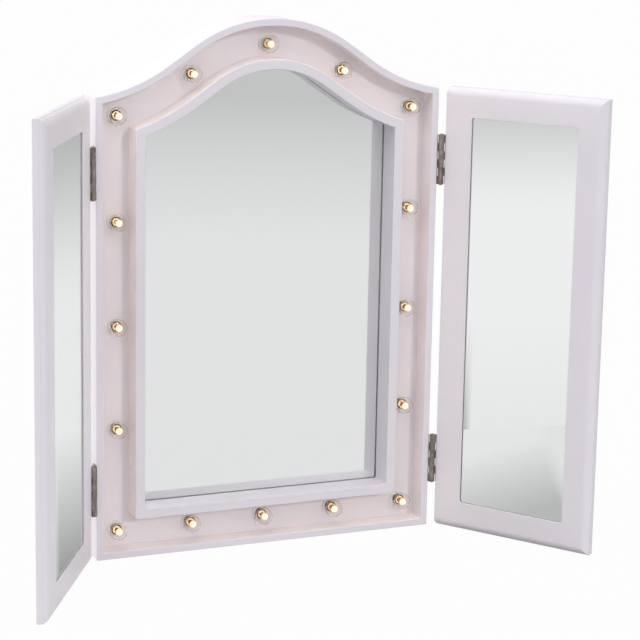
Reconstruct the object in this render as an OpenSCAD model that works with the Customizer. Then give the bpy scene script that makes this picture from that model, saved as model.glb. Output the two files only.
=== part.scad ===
// Three-panel lighted tabletop mirror: an arched, lamp-lined centre casing with
// two plain side wings hinged to it. Millimetres, +Z up, the front faces -Y.
// The origin is the middle of the centre casing's underside.

/* [Centre casing] */
// Width of the centre casing
casing_w = 363; // [330:1:400]
// Height of the casing's straight sides
side_h = 462; // [420:1:520]
// Depth of the casing from its front edge to its rear edge
casing_depth = 45; // [43:1:60]
// Thickness of the casing boards, seen as the outer rim
casing_wall = 7; // [6:0.5:8.5]
// Radius of the arch's crown
crown_r = 143; // [120:1:150]
// Slope of the arch's straight flanks, in degrees
flank_angle = 34.5; // [30:0.5:37]
// Radius of the hollow sweep between flank and side
sweep_r = 172; // [150:1:180]
// Slope of the sweep where it meets the side, in degrees
shoulder_angle = 8; // [6:0.5:10]

/* [Lamp channel and mirror surround] */
// Depth of the channel floor behind the casing's front edge
channel_depth = 21; // [19:0.5:23]
// Thickness of the channel board
channel_board_t = 3; // [2.5:0.5:4]
// Distance from the casing's outside to the outside of the surround
surround_inset = 39.5; // [37:0.5:44]
// Width of the surround's front face
surround_w = 10; // [8:0.5:14]
// Distance that the surround stands in front of the casing's front edge
surround_proud = 3; // [1:0.5:3]
// Radius of the surround's outer corners
surround_corner_r = 5; // [1:0.5:8]
// Radius of the corners of the surround's opening
opening_corner_r = 4; // [1:0.5:8]
// Thickness of the centre mirror glass
centre_glass_t = 3; // [2:0.5:4]
// Width of the glass hidden behind the channel board, all round
centre_glass_lap = 4; // [3:0.5:6]
// Thickness of the board behind the centre glass
centre_backing_t = 3; // [2:0.5:3.5]
// Thickness of the rear panel
back_panel_t = 3; // [2:0.5:4]
// Width of the battens inside the casing
batten_w = 10; // [8:0.5:11]

/* [Lamps] */
// Distance of the lamp centres from the casing's outside
lamp_inset = 25.5; // [24:0.5:27]
// Sideways distance of the two flank lamps from the middle
flank_lamp_x = 79.5; // [72:0.5:90]
// Distance of the two flank lamps from the casing's outside
flank_lamp_inset = 24; // [22:0.5:27]
// Distance of the top side lamps below the casing's shoulder
lamp_shoulder_drop = 19.5; // [17:0.5:26]
// Radius of a lamp globe
globe_r = 8.75; // [8:0.25:9.5]
// Wall of a lamp globe
globe_wall = 0.8; // [0.6:0.1:1.2]
// Distance of a globe's round part in front of its socket's flange
globe_lift = 4.5; // [0.5:0.1:6]
// Outside radius of a globe's neck
globe_neck_r = 5.2; // [4.8:0.1:5.6]
// Outside radius of a lamp socket
socket_r = 6.6; // [6.4:0.1:7]
// Length of a globe's neck behind the channel board
neck_tail = 2; // [1:0.5:3]
// Outside radius of a socket's flange
socket_flange_r = 8; // [7.5:0.1:9]
// Length of a socket behind the channel board
socket_tail = 8; // [5:0.5:10]
// Radius of the light emitter in a globe
emitter_r = 3.4; // [2.5:0.1:3.6]
// Distance from the emitter's tip to the inside of the globe
emitter_gap = 3; // [0.4:0.1:4]

/* [Wings] */
// Gap between the two wings when both are folded shut
wing_meet_gap = 3; // [2:0.5:10]
// Height of a wing
wing_h = 464; // [420:1:520]
// Thickness of a wing
wing_t = 12; // [11:0.5:14]
// Thickness of the full-size rear part of a wing's edge
wing_edge_t = 6; // [5:0.5:7]
// Width of the moulding round a wing's front
moulding_w = 9; // [6:0.5:12]
// Width of the small step at the foot of the moulding
moulding_step = 0.6; // [0.4:0.1:1]
// Height of that step
moulding_lip = 0.8; // [0.4:0.1:1.2]
// Width of a wing frame's bars
wing_bar_w = 30; // [24:0.5:36]
// Radius of the corners of a wing frame's opening
wing_corner_r = 2.5; // [1:0.5:5]
// Depth of the wing glass behind the wing's front face
wing_glass_depth = 1.5; // [1:0.5:2]
// Thickness of the wing glass
wing_glass_t = 3; // [2:0.5:3]
// Width of the wing glass hidden behind the frame, all round
wing_glass_lap = 5; // [3:0.5:8]
// Thickness of the wing's rear panel
wing_back_t = 3; // [2:0.5:3]
// Width of the wing's rear panel beyond the glass, all round
wing_back_lap = 6; // [4:0.5:10]
// Angle of the left wing, folded forward from flat
left_wing_angle = 60.5; // [0:0.5:180]
// Angle of the right wing, folded forward from flat
right_wing_angle = 56.5; // [0:0.5:180]

/* [Hinges] */
// Length of a hinge
hinge_h = 51; // [45:0.5:60]
// Height of the lower hinges' middle
hinge_low_z = 73; // [60:1:110]
// Height of the upper hinges' middle
hinge_high_z = 389; // [340:1:400]
// Outside radius of the hinge knuckles
knuckle_r = 3; // [2.8:0.1:3.2]
// Radius of a hinge pin
pin_r = 1.5; // [1.2:0.1:1.6]
// Thickness of a hinge leaf
leaf_t = 1.2; // [1:0.1:1.5]
// Width of a hinge leaf behind the pin's axis
leaf_w = 11.5; // [10:0.5:12]
// Distance of the pin's axis from the boards on either side
pin_side = 3.4; // [3.3:0.1:3.8]
// Distance of the pin's axis in front of the front edges
pin_front = 1.8; // [1.8:0.1:2.2]
// Radius of a hinge screw's head
hinge_screw_head_r = 2.6; // [2.2:0.1:2.8]
// Radius of a hinge screw's shank
hinge_screw_r = 1.3; // [1:0.1:1.5]
// Length of a hinge screw
hinge_screw_len = 7; // [5:0.5:7]

/* [Power] */
// Radius of a battery
cell_r = 7.1; // [6.9:0.1:7.25]
// Length of a battery
cell_len = 50.5; // [49:0.1:51]
// Number of batteries side by side
cell_count = 4; // [2:1:5]
// Wall of the battery box
box_wall = 1.2; // [1:0.1:1.4]
// Room for the contacts at each end of the batteries
contact_room = 3.5; // [3:0.5:6]
// Height of the battery box's middle
box_z = 150; // [130:1:200]
// Thickness of the flanges of the battery box and the switch
flange_t = 1.3; // [1:0.1:1.6]
// Thickness of the battery cover
cover_t = 1.4; // [1.2:0.1:1.8]
// Sideways distance of the switch from the middle
switch_x = 62; // [55:1:90]
// Width of the switch's rocker
rocker_w = 8.6; // [7:0.1:10]
// Height of the switch's rocker
rocker_h = 14.4; // [12:0.2:18]
// Tilt of the rocker when on, in degrees
rocker_tilt = 10; // [8:1:11]

/* [Hidden] */

// Clearance between boards that drop into one another
fit_gap = 0.2;
// Radial clearance of turning pins and of screws in their holes
turn_gap = 0.05;
// How far a cutting shape runs past the face that it cuts
past = 1;

half_w = casing_w / 2;
front_y = -casing_depth / 2;
rear_y = casing_depth / 2;
wing_w = half_w - wing_meet_gap / 2;

// The arch: a round crown, straight flanks and a hollow sweep down to each side
crown_x = crown_r * sin(flank_angle);
sweep_cx = half_w + sweep_r * sin(shoulder_angle);
sweep_x = sweep_cx - sweep_r * sin(flank_angle);
shoulder_drop = sweep_r * (cos(shoulder_angle) - cos(flank_angle));
flank_drop = (sweep_x - crown_x) * tan(flank_angle);
crown_drop = crown_r * (1 - cos(flank_angle));
casing_h = side_h + shoulder_drop + flank_drop + crown_drop;
crown_cz = casing_h - crown_r;
sweep_cz = side_h + sweep_r * cos(shoulder_angle);
flank_mid_x = (crown_x + sweep_x) / 2;
flank_mid_z = crown_cz + crown_r * cos(flank_angle) - flank_drop / 2;
flank_len = (sweep_x - crown_x) / cos(flank_angle);

// Depths behind the casing's front edge
board_rear = channel_depth + channel_board_t;
glass_rear = board_rear + centre_glass_t;
backing_rear = glass_rear + centre_backing_t;
panel_front = casing_depth - back_panel_t;

// Insets from the casing's outside
opening_inset = surround_inset + surround_w;
glass_inset = opening_inset - centre_glass_lap;
batten_mid_inset = casing_wall + batten_w / 2;

paint = [0.93, 0.92, 0.94];
board = [0.80, 0.72, 0.60];
steel = [0.62, 0.58, 0.54];
mirror_tone = [0.80, 0.84, 0.88];
white_plastic = [0.95, 0.95, 0.93];
black_plastic = [0.13, 0.13, 0.14];

// Wedge outside a corner's fillet circle, between the two points where it is tangent
module corner_cut(x, z, r, a0, a1) {
    reach = 2 * r;
    difference() {
        polygon([[x, z],
            [x + reach * cos(a0), z + reach * sin(a0)],
            [x + 2 * reach * cos((a0 + a1) / 2), z + 2 * reach * sin((a0 + a1) / 2)],
            [x + reach * cos(a1), z + reach * sin(a1)]]);
        translate([x, z]) circle(r = r, $fn = 64);
    }
}

// Casing outline in width and height, drawn in by the inset; curves stay parallel
module outline(inset, corner_r = 0) {
    w = half_w - inset;
    sx = sweep_cx - (sweep_r + inset) * sin(flank_angle);
    sz = sweep_cz - (sweep_r + inset) * cos(flank_angle);
    cx = (crown_r - inset) * sin(flank_angle);
    cz = crown_cz + (crown_r - inset) * cos(flank_angle);
    fillet_x = w - corner_r;
    fillet_rise = sqrt(pow(sweep_r + inset + corner_r, 2) - pow(sweep_cx - fillet_x, 2));
    difference() {
        union() {
            polygon([[-w, inset], [w, inset], [w, sz], [sx, sz], [cx, cz],
                [-cx, cz], [-sx, sz], [-w, sz]]);
            translate([0, crown_cz]) circle(r = crown_r - inset, $fn = 180);
        }
        for (s = [-1, 1]) translate([s * sweep_cx, sweep_cz]) circle(r = sweep_r + inset, $fn = 240);
        if (corner_r > 0) for (s = [0, 1]) mirror([s, 0]) {
            corner_cut(fillet_x, inset + corner_r, corner_r, -90, 0);
            corner_cut(fillet_x, sweep_cz - fillet_rise, corner_r, 0,
                atan2(fillet_rise, sweep_cx - fillet_x));
        }
    }
}

// Extrudes a width and height outline between two depths behind the front edge
module between(near, far) {
    translate([0, front_y + far, 0]) rotate([90, 0, 0]) linear_extrude(height = far - near) children();
}

// Puts a turned piece at a place on the front; its +Z points back from the depth
module from_depth(place, depth) {
    translate([place[0], front_y + depth, place[1]]) rotate([-90, 0, 0]) children();
}

// Rectangle between two corners, with round corners
module round_rect(x0, y0, x1, y1, r) {
    translate([x0 + r, y0]) square([x1 - x0 - 2 * r, y1 - y0]);
    translate([x0, y0 + r]) square([x1 - x0, y1 - y0 - 2 * r]);
    for (x = [x0 + r, x1 - r], y = [y0 + r, y1 - r]) translate([x, y]) circle(r = r, $fn = 48);
}

// Rectangle about a centre, in width and height
module centred(x, z, w, h) {
    translate([x - w / 2, z - h / 2]) square([w, h]);
}

// ---------- centre casing ----------

module centre_casing() {
    color(paint) difference() {
        between(0, casing_depth) difference() {
            outline(0);
            outline(casing_wall);
        }
        for (s = [-1, 1]) on_casing(s) leaf_pilots();
    }
}

// Battens behind the channel board: sides, foot and one under each flank of the arch
module frame_battens() {
    inner = half_w - casing_wall;
    color(board) difference() {
        union() {
            between(board_rear, panel_front) for (s = [-1, 1])
                translate([s * (inner - batten_w / 2) - batten_w / 2, casing_wall + batten_w])
                    square([batten_w, side_h - casing_wall - 2 * batten_w]);
            between(board_rear, panel_front)
                translate([-inner, casing_wall]) square([2 * inner, batten_w]);
            between(board_rear, panel_front) for (s = [-1, 1])
                translate([s * flank_mid_x, flank_mid_z]) rotate(-s * flank_angle)
                    translate([-flank_len / 2, -casing_wall - batten_w]) square([flank_len, batten_w]);
        }
        between(casing_depth - panel_screw_len - fit_gap, casing_depth)
            for (p = panel_screws) translate(p) circle(r = panel_screw_r + turn_gap, $fn = 32);
    }
}

module channel_board() {
    color(paint) between(channel_depth, board_rear) difference() {
        outline(casing_wall);
        outline(surround_inset, surround_corner_r);
        for (p = lamps) translate(p) circle(r = socket_r + turn_gap, $fn = 48);
    }
}

module mirror_surround() {
    color(paint) between(-surround_proud, board_rear) difference() {
        outline(surround_inset, surround_corner_r);
        outline(opening_inset, opening_corner_r);
    }
}

module centre_mirror() {
    color(mirror_tone) between(board_rear, glass_rear) outline(glass_inset);
}

// The battery box stands through this board
module centre_mirror_backing() {
    color(board) between(glass_rear, backing_rear) difference() {
        outline(glass_inset);
        centred(0, box_z, box_w + 2 * fit_gap, box_h + 2 * fit_gap);
    }
}

// Z-shaped clips hold glass and backing against the surround and the channel board
clip_len = 24;
clip_foot = 8;
clip_t = 1.2;
clip_margin = 30;
clip_rows = 3;
clip_low_z = glass_inset + clip_margin;
clip_high_z = side_h - glass_inset - clip_margin;

// Clip section: foot on the board, rise beside the edge at x = 0, finger over the backing
module clip() {
    rise = backing_rear - board_rear;
    translate([0, 0, -clip_len / 2]) linear_extrude(height = clip_len) {
        translate([fit_gap, 0]) square([clip_foot, clip_t]);
        translate([fit_gap, 0]) square([clip_t, rise + clip_t]);
        translate([fit_gap - clip_foot, rise]) square([clip_foot, clip_t]);
    }
}

module mirror_clips() {
    color(steel) {
        for (i = [0:clip_rows - 1], s = [0, 1]) mirror([s, 0, 0])
            translate([half_w - glass_inset, front_y + board_rear,
                clip_low_z + i * (clip_high_z - clip_low_z) / (clip_rows - 1)]) clip();
        for (s = [-1, 1]) translate([s * (half_w - glass_inset) / 2, front_y + board_rear, glass_inset])
            rotate([0, 90, 0]) clip();
    }
}

// ---------- rear panel ----------

// Screws of the rear panel, over the battens
panel_screw_r = 1.5;
panel_screw_head_r = 3;
panel_screw_head_h = 1.6;
panel_screw_dome_r = 4.2;
panel_screw_len = 12;
panel_screw_rows = 4;
panel_screw_low_z = casing_wall + 2 * batten_w;
panel_screw_high_z = side_h - 3 * batten_w;
panel_screws = concat(
    [for (s = [-1, 1], i = [0:panel_screw_rows - 1]) [s * (half_w - batten_mid_inset),
        panel_screw_low_z + i * (panel_screw_high_z - panel_screw_low_z) / (panel_screw_rows - 1)]],
    [for (s = [-1, 1]) [s * (flank_mid_x - batten_mid_inset * sin(flank_angle)),
        flank_mid_z - batten_mid_inset * cos(flank_angle)]],
    [[0, batten_mid_inset]]);

module back_panel() {
    color(board) between(panel_front, casing_depth) difference() {
        outline(casing_wall + fit_gap);
        centred(0, box_z, box_w + 2 * fit_gap, box_h + 2 * fit_gap);
        centred(switch_x, box_z, switch_w + 2 * fit_gap, switch_h + 2 * fit_gap);
        for (p = panel_screws) translate(p) circle(r = panel_screw_r + fit_gap, $fn = 32);
    }
}

module back_panel_screws() {
    color(steel) for (p = panel_screws) from_depth(p, casing_depth - panel_screw_len) {
        cylinder(r = panel_screw_r, h = panel_screw_len, $fn = 32);
        translate([0, 0, panel_screw_len]) intersection() {
            cylinder(r = panel_screw_head_r, h = panel_screw_head_h, $fn = 32);
            translate([0, 0, panel_screw_head_h - panel_screw_dome_r])
                sphere(r = panel_screw_dome_r, $fn = 48);
        }
    }
}

// ---------- lamps ----------

// Places of the lamps: five on each side, three on the foot, three under the arch
lamp_x = half_w - lamp_inset;
lamp_top_z = side_h - lamp_shoulder_drop;
flank_lamp_z = flank_mid_z - flank_lamp_inset / cos(flank_angle)
    - (flank_lamp_x - flank_mid_x) * tan(flank_angle);
side_steps = 4;
lamps = concat(
    [for (i = [0:side_steps], s = [-1, 1])
        [s * lamp_x, lamp_inset + (lamp_top_z - lamp_inset) * i / side_steps]],
    [for (i = [-1:1]) [i * lamp_x / 2, lamp_inset]],
    [for (i = [-1:1]) [i * flank_lamp_x, i == 0 ? casing_h - lamp_inset : flank_lamp_z]]);

socket_flange_t = 1;
flange_depth = channel_depth - socket_flange_t;
seat_depth = board_rear + neck_tail;
globe_depth = flange_depth - globe_lift - sqrt(pow(globe_r, 2) - pow(globe_neck_r, 2));
emitter_depth = globe_depth - globe_r + globe_wall + emitter_gap + emitter_r;

module lamp_sockets() {
    color(white_plastic) for (p = lamps) from_depth(p, flange_depth) difference() {
        union() {
            cylinder(r = socket_r, h = board_rear + socket_tail - flange_depth, $fn = 48);
            cylinder(r = socket_flange_r, h = socket_flange_t, $fn = 48);
        }
        translate([0, 0, -past])
            cylinder(r = globe_neck_r + turn_gap, h = seat_depth - flange_depth + past, $fn = 48);
    }
}

// A stem in the neck with the round emitter at the front of the globe
stem_r = 2.4;

module lamp_emitters() {
    color([1, 0.86, 0.55]) for (p = lamps) from_depth(p, emitter_depth) {
        sphere(r = emitter_r, $fn = 48);
        cylinder(r = stem_r, h = seat_depth - emitter_depth, $fn = 32);
    }
}

// A round globe that sits just above the channel board, with its neck in the socket
module lamp_globes() {
    neck = seat_depth - globe_depth;
    color([0.9, 0.92, 0.95, 0.4]) for (p = lamps) from_depth(p, globe_depth) difference() {
        union() {
            sphere(r = globe_r, $fn = 64);
            cylinder(r = globe_neck_r, h = neck, $fn = 48);
        }
        sphere(r = globe_r - globe_wall, $fn = 64);
        cylinder(r = globe_neck_r - globe_wall, h = neck + past, $fn = 48);
    }
}

// Flat lead behind the sockets, with branches to the battery box and the switch
lead_w = 2.4;
lead_t = 1.6;
lead_front = board_rear + socket_tail;
lead_rear = lead_front + lead_t;

module wiring_loom() {
    box_low_z = box_z - box_h / 2;
    color([0.75, 0.15, 0.12]) {
        between(lead_front, lead_rear) {
            difference() {
                outline(lamp_inset - lead_w / 2);
                outline(lamp_inset + lead_w / 2);
            }
            translate([-lead_w / 2, lamp_inset]) square([lead_w, box_low_z - lamp_inset]);
            translate([0, lamp_inset + lead_w]) square([switch_x, lead_w]);
            translate([switch_x - lead_w / 2, lamp_inset + lead_w])
                square([lead_w, box_z - lamp_inset - lead_w]);
        }
        between(lead_front, max(lead_rear, box_floor + lead_t))
            translate([-lead_w / 2, box_low_z - lead_w]) square([lead_w, lead_w]);
        between(lead_front, switch_front) centred(switch_x, box_z, lead_w, lead_w);
    }
}

// ---------- battery box ----------

cell_gap = 0.2;
cell_pitch = 2 * cell_r + cell_gap;
contact_t = 0.5;
box_inner_w = cell_count * cell_pitch + cell_gap;
box_inner_h = cell_len + 2 * contact_room;
box_w = box_inner_w + 2 * box_wall;
box_h = box_inner_h + 2 * box_wall;
box_floor = casing_depth - 2 * cell_r - 2 * cell_gap - box_wall;
cell_depth = box_floor + box_wall + cell_gap / 2 + cell_r;

// The cover slides down between two lipped rails on the flange
cover_lap = 2.5;
cover_w = box_inner_w + 2 * cover_lap;
cover_h = box_inner_h + 2 * cover_lap;
slide_gap = 0.15;
rail_w = 1.6;
lip_w = 1.4;
lip_t = 1;
rail_x = cover_w / 2 + slide_gap;
rail_h = cover_t + 2 * slide_gap + lip_t;
flange_top = cover_h / 2 + slide_gap + rail_w;

module battery_box() {
    color(white_plastic) {
        difference() {
            union() {
                between(box_floor, casing_depth) centred(0, box_z, box_w, box_h);
                between(casing_depth, casing_depth + flange_t)
                    translate([-rail_x - rail_w, box_z - cover_h / 2])
                        square([2 * (rail_x + rail_w), cover_h / 2 + flange_top]);
            }
            between(box_floor + box_wall, casing_depth + flange_t + past)
                centred(0, box_z, box_inner_w, box_inner_h);
        }
        for (s = [0, 1]) mirror([s, 0, 0]) translate([rail_x, rear_y + flange_t, box_z - cover_h / 2])
            linear_extrude(height = cover_h / 2 + flange_top)
                polygon([[0, 0], [rail_w, 0], [rail_w, rail_h], [-lip_w, rail_h],
                    [-lip_w, rail_h - lip_t], [0, rail_h - lip_t]]);
        translate([-rail_x, rear_y + flange_t, box_z + flange_top - rail_w])
            cube([2 * rail_x, rail_h, rail_w]);
    }
}

// Cover with finger ridges
ridge_count = 5;
ridge_pitch = 2.4;
ridge_len = 20;
ridge_t = 0.6;

module battery_cover() {
    near = casing_depth + flange_t + slide_gap;
    color(white_plastic) {
        between(near, near + cover_t) centred(0, box_z, cover_w, cover_h);
        between(near + cover_t, near + cover_t + ridge_t) for (i = [0:ridge_count - 1])
            centred(0, box_z - cover_h / 4 + i * ridge_pitch, ridge_len, ridge_pitch / 2);
    }
}

// One plate at each end of a battery, with a spring cone at its base and a pip at its tip
contact_w = 8;
spring_r = 3.6;
spring_tip_r = 2.2;
pip_r = 2.2;

module battery_contacts() {
    plate_z = box_inner_h / 2 - contact_t;
    reach = contact_room - contact_t;
    color(steel) for (i = [0:cell_count - 1])
        translate([(i - (cell_count - 1) / 2) * cell_pitch, front_y + cell_depth, box_z])
            mirror([0, 0, i % 2]) {
                translate([-contact_w / 2, -contact_w / 2, plate_z]) cube([contact_w, contact_w, contact_t]);
                translate([0, 0, plate_z - reach]) cylinder(r = pip_r, h = reach, $fn = 32);
                translate([-contact_w / 2, -contact_w / 2, -plate_z - contact_t])
                    cube([contact_w, contact_w, contact_t]);
                translate([0, 0, -plate_z]) cylinder(r1 = spring_r, r2 = spring_tip_r, h = reach, $fn = 32);
            }
}

cell_tip_r = 2.7;
cell_tip_h = 1.2;

module batteries() {
    color([0.2, 0.3, 0.28]) for (i = [0:cell_count - 1])
        translate([(i - (cell_count - 1) / 2) * cell_pitch, front_y + cell_depth, box_z])
            mirror([0, 0, i % 2]) translate([0, 0, -cell_len / 2]) {
                cylinder(r = cell_r, h = cell_len - cell_tip_h, $fn = 64);
                cylinder(r = cell_tip_r, h = cell_len, $fn = 32);
            }
}

// ---------- switch ----------

switch_wall = 1.2;
rocker_gap = 0.35;
rocker_swing = 0.6;
switch_w = rocker_w + 2 * (switch_wall + rocker_gap);
switch_h = rocker_h + 2 * (switch_wall + rocker_gap + rocker_swing);
switch_depth = 9;
switch_front = casing_depth - switch_depth;
bezel_w = 1.6;
bezel_corner_r = 1.5;
rocker_pin_r = 1.2;
rocker_pin_depth = casing_depth - 2;
rocker_pin_len = rocker_w + 2 * rocker_gap + switch_wall;

// A bar across the switch, on the rocker's axis
module rocker_axis(r, len) {
    translate([switch_x - len / 2, front_y + rocker_pin_depth, box_z]) rotate([0, 90, 0])
        cylinder(r = r, h = len, $fn = 32);
}

module switch_body() {
    color(black_plastic) difference() {
        union() {
            between(switch_front, casing_depth) centred(switch_x, box_z, switch_w, switch_h);
            between(casing_depth, casing_depth + flange_t)
                round_rect(switch_x - switch_w / 2 - bezel_w, box_z - switch_h / 2 - bezel_w,
                    switch_x + switch_w / 2 + bezel_w, box_z + switch_h / 2 + bezel_w, bezel_corner_r);
        }
        between(switch_front + switch_wall, casing_depth + flange_t + past)
            centred(switch_x, box_z, switch_w - 2 * switch_wall, switch_h - 2 * switch_wall);
        rocker_axis(rocker_pin_r + turn_gap, rocker_pin_len + 2 * turn_gap);
    }
}

// The rocker's side view is a wedge with a dished face; outward is +X here
rocker_face = 4.2;
rocker_heel = 1.8;
rocker_dish_r = 30;
rocker_dish = 1.1;

module switch_rocker() {
    color(black_plastic) {
        translate([switch_x - rocker_w / 2, front_y + rocker_pin_depth, box_z]) rotate([rocker_tilt, 0, 0])
            rotate([90, 0, 90]) linear_extrude(height = rocker_w) difference() {
                polygon([[-rocker_heel, -rocker_h / 4], [rocker_face, -rocker_h / 2],
                    [rocker_face, rocker_h / 2], [-rocker_heel, rocker_h / 4]]);
                translate([rocker_face + rocker_dish_r - rocker_dish, 0])
                    circle(r = rocker_dish_r, $fn = 180);
            }
        rocker_axis(rocker_pin_r, rocker_pin_len);
    }
}

// ---------- hinges ----------

pin_x = half_w + pin_side;
pin_y = front_y - pin_front;
hinge_zs = [hinge_low_z, hinge_high_z];
knuckle_count = 6;
knuckle_h = hinge_h / knuckle_count;
knuckle_gap = 0.15;
leaf_gap = 0.4;
leaf_screw_margin = 8.5;
leaf_screw_zs = [-hinge_h / 2 + leaf_screw_margin, hinge_h / 2 - leaf_screw_margin];
leaf_screw_y = (leaf_w + knuckle_r) / 2;

// Every second knuckle, from the first one given, with its web to the leaf
module knuckles(first) {
    h = knuckle_h - knuckle_gap;
    for (k = [first:2:knuckle_count - 1])
        translate([0, 0, k * knuckle_h - hinge_h / 2 + knuckle_gap / 2]) difference() {
            union() {
                cylinder(r = knuckle_r, h = h, $fn = 48);
                translate([-pin_side, 0, 0]) cube([leaf_t, knuckle_r + 2 * leaf_gap, h]);
                translate([-pin_side, 0, 0]) cube([pin_side, leaf_t, h]);
            }
            translate([0, 0, -past]) cylinder(r = pin_r + turn_gap, h = h + 2 * past, $fn = 48);
        }
}

// Holes for a leaf's screws, in the leaf and in the board behind it
module leaf_pilots() {
    for (z = leaf_screw_zs) translate([leaf_t - pin_side - hinge_screw_len, leaf_screw_y, z])
        rotate([0, 90, 0]) cylinder(r = hinge_screw_r + turn_gap, h = hinge_screw_len + past, $fn = 32);
}

// Countersunk heads, or the seats for them
module leaf_screw_heads(gap) {
    for (z = leaf_screw_zs) translate([-pin_side, leaf_screw_y, z]) rotate([0, 90, 0])
        cylinder(r1 = hinge_screw_r + gap, r2 = hinge_screw_head_r + gap, h = leaf_t, $fn = 32);
}

// One leaf, drawn about the pin's axis with its plate on a board at -X
module leaf(first) {
    knuckles(first);
    difference() {
        translate([-pin_side, knuckle_r + leaf_gap, -hinge_h / 2])
            cube([leaf_t, leaf_w - knuckle_r - leaf_gap, hinge_h]);
        leaf_pilots();
        leaf_screw_heads(turn_gap);
    }
}

module leaf_screws() {
    leaf_screw_heads(0);
    for (z = leaf_screw_zs) translate([leaf_t - pin_side - hinge_screw_len, leaf_screw_y, z])
        rotate([0, 90, 0]) cylinder(r = hinge_screw_r, h = hinge_screw_len, $fn = 32);
}

// Repeats a hinge's piece at both hinges of one side of the casing
module on_casing(side) {
    for (z = hinge_zs) mirror([side > 0 ? 0 : 1, 0, 0]) translate([pin_x, pin_y, z]) children();
}

// A wing's own frame: the pin's axis is its origin and its width runs along +X
module right_wing() {
    translate([pin_x, pin_y, 0]) rotate([0, 0, -right_wing_angle]) children();
}

module left_wing() {
    mirror([1, 0, 0]) translate([pin_x, pin_y, 0]) rotate([0, 0, -left_wing_angle]) children();
}

// Repeats a hinge's piece at both hinges of a wing, turned to the wing's edge
module on_wing() {
    for (z = hinge_zs) translate([0, 0, z]) mirror([1, 0, 0]) children();
}

module centre_hinge_leaves() {
    color(steel) for (s = [-1, 1]) on_casing(s) leaf(0);
}

module centre_hinge_screws() {
    color(steel) for (s = [-1, 1]) on_casing(s) leaf_screws();
}

module left_hinge_leaves() {
    color(steel) left_wing() on_wing() leaf(1);
}

module right_hinge_leaves() {
    color(steel) right_wing() on_wing() leaf(1);
}

module left_hinge_screws() {
    color(steel) left_wing() on_wing() leaf_screws();
}

module right_hinge_screws() {
    color(steel) right_wing() on_wing() leaf_screws();
}

// A pin with a low round head at each end
pin_head_h = 0.8;
pin_head_r = 2.6;

module pin() {
    cylinder(r = pin_r, h = hinge_h, center = true, $fn = 48);
    for (s = [0, 1]) mirror([0, 0, s]) translate([0, 0, hinge_h / 2])
        cylinder(r1 = pin_head_r, r2 = pin_r, h = pin_head_h, $fn = 48);
}

module left_hinge_pins() {
    color(steel) on_casing(-1) pin();
}

module right_hinge_pins() {
    color(steel) on_casing(1) pin();
}

// ---------- wings ----------

// The moulding's arc starts flat at the wing's face and ends above the small step
moulding_run = moulding_w - moulding_step;
moulding_drop = wing_t - wing_edge_t - moulding_lip;
moulding_r = (pow(moulding_run, 2) + pow(moulding_drop, 2)) / (2 * moulding_drop);

// Depth section of a moulded edge that ends at x = 0; the panel lies at -X
module moulded_edge() {
    translate([-moulding_w, wing_t - wing_edge_t]) square([moulding_w, wing_edge_t]);
    intersection() {
        translate([-moulding_w, 0]) square([moulding_run, wing_t - wing_edge_t]);
        translate([-moulding_w, moulding_r]) circle(r = moulding_r, $fn = 120);
    }
}

// Plain at the hinge, moulded on the far edge
module width_section() {
    square([wing_w - moulding_w, wing_t]);
    translate([wing_w, 0]) moulded_edge();
}

// Moulded at both ends
module height_section() {
    translate([moulding_w, 0]) square([wing_h - 2 * moulding_w, wing_t]);
    translate([wing_h, 0]) moulded_edge();
    mirror([1, 0]) moulded_edge();
}

// Solid panel whose three mouldings meet in mitres
module moulded_panel() {
    intersection() {
        linear_extrude(height = wing_h) width_section();
        rotate([90, 0, 90]) linear_extrude(height = wing_w) mirror([1, -1]) height_section();
    }
}

// Extrudes a width and height outline between two depths behind the wing's face
module wing_between(near, far) {
    translate([0, far, 0]) rotate([90, 0, 0]) linear_extrude(height = far - near) children();
}

module wing_rect(border, r) {
    round_rect(border, border, wing_w - border, wing_h - border, r);
}

// Moves from the pin's axis to the wing's lower front corner at the hinge
module wing_body() {
    translate([pin_side, pin_front, 0]) children();
}

wing_glass_rear = wing_glass_depth + wing_glass_t;
wing_back_front = wing_t - wing_back_t;
glass_border = wing_bar_w - wing_glass_lap;
back_border = glass_border - wing_back_lap;
rebate_corner_r = 1;

// Screws of the wing's rear panel, on its lap over the frame
wing_screw_r = 1;
wing_screw_head_r = 2;
wing_screw_tip_r = 1.4;
wing_screw_head_h = 0.8;
wing_screw_len = 7;
wing_screw_rows = 4;
wing_screw_margin = 20;
wing_screw_border = glass_border - wing_back_lap / 2;
wing_screw_span = wing_h - 2 * (wing_screw_border + wing_screw_margin);
wing_screws_at = concat(
    [for (x = [wing_screw_border, wing_w - wing_screw_border], i = [0:wing_screw_rows - 1])
        [x, wing_screw_border + wing_screw_margin + i * wing_screw_span / (wing_screw_rows - 1)]],
    [for (z = [wing_screw_border, wing_h - wing_screw_border]) [wing_w / 2, z]]);

module wing_screw_holes() {
    for (p = wing_screws_at) translate(p) circle(r = wing_screw_r + turn_gap, $fn = 32);
}

module wing_frame() {
    color(paint) difference() {
        wing_body() difference() {
            moulded_panel();
            wing_between(-past, wing_back_front) wing_rect(wing_bar_w, wing_corner_r);
            wing_between(wing_glass_depth, wing_back_front)
                wing_rect(glass_border - fit_gap, rebate_corner_r);
            wing_between(wing_back_front, wing_t + past) wing_rect(back_border - fit_gap, rebate_corner_r);
            wing_between(wing_t - wing_screw_len, wing_t) wing_screw_holes();
        }
        on_wing() leaf_pilots();
    }
}

module wing_mirror() {
    color(mirror_tone) wing_body() wing_between(wing_glass_depth, wing_glass_rear)
        wing_rect(glass_border, rebate_corner_r);
}

module wing_backing() {
    color(board) wing_body() wing_between(wing_glass_rear, wing_back_front)
        wing_rect(glass_border, rebate_corner_r);
}

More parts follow.
